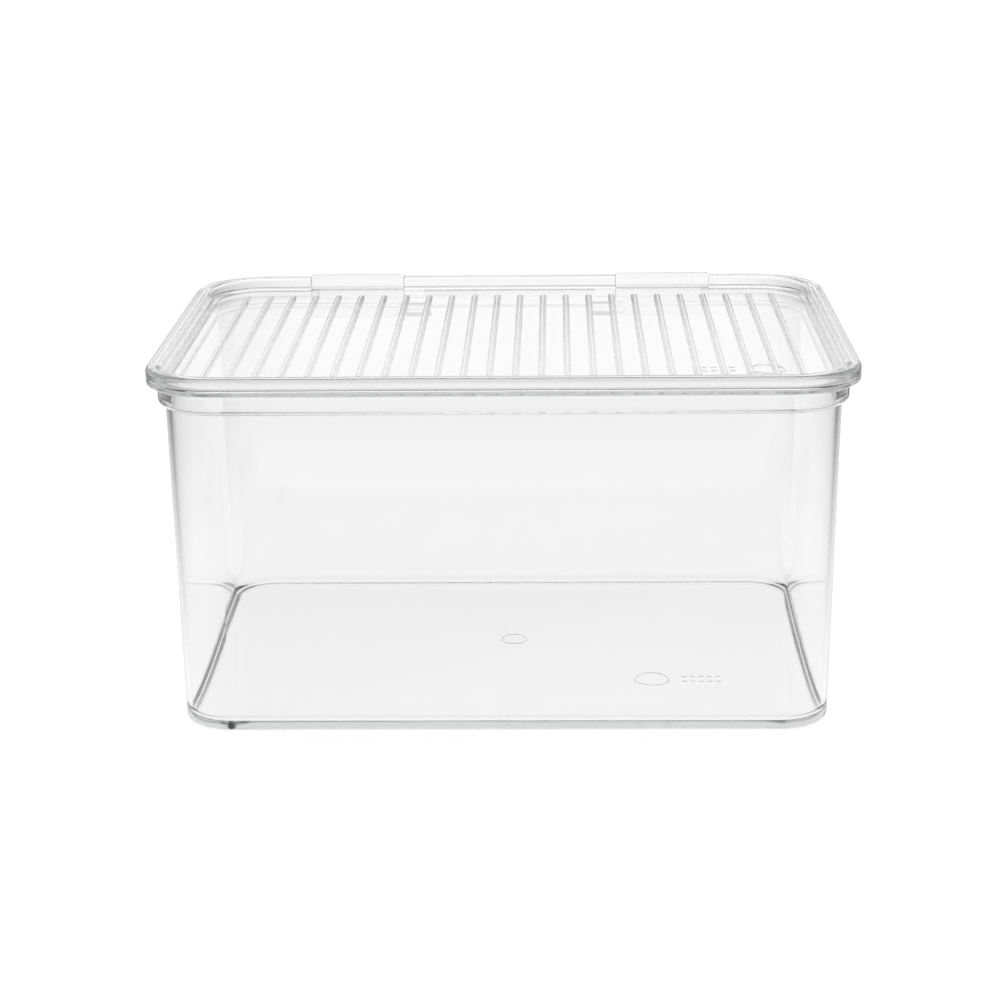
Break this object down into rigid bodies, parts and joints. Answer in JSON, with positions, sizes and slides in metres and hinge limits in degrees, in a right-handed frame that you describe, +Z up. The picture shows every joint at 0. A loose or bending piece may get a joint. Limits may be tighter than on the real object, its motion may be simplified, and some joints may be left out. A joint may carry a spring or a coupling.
{
  "type": "fridge bin",
  "caption": "Clear rectangular fridge bin with a flanged rim and a ribbed lid that swings up on hinges behind the rear wall.",
  "frame": {"origin": "centre of the flat base, which is also the bottom centre of the bounding box of the closed box", "axes": "+X to the right seen from the front, +Y to the rear, where the hinges are, +Z up"},
  "size_m": [0.267, 0.1856, 0.141],
  "materials": {
    "clear_bin": "clear, polished",
    "clear_lid": "clear, polished"
  },
  "bodies": {
    "bin": {"bin": "clear_bin"},
    "lid": {"lid": "clear_lid"}
  },
  "joints": [
    {"name": "lid_hinge", "type": "hinge", "parent": "bin", "child": "lid", "pos_m": [0, 0.0897, 0.125], "axis": [-1, 0, 0], "range_deg": [0, 105]}
  ]
}
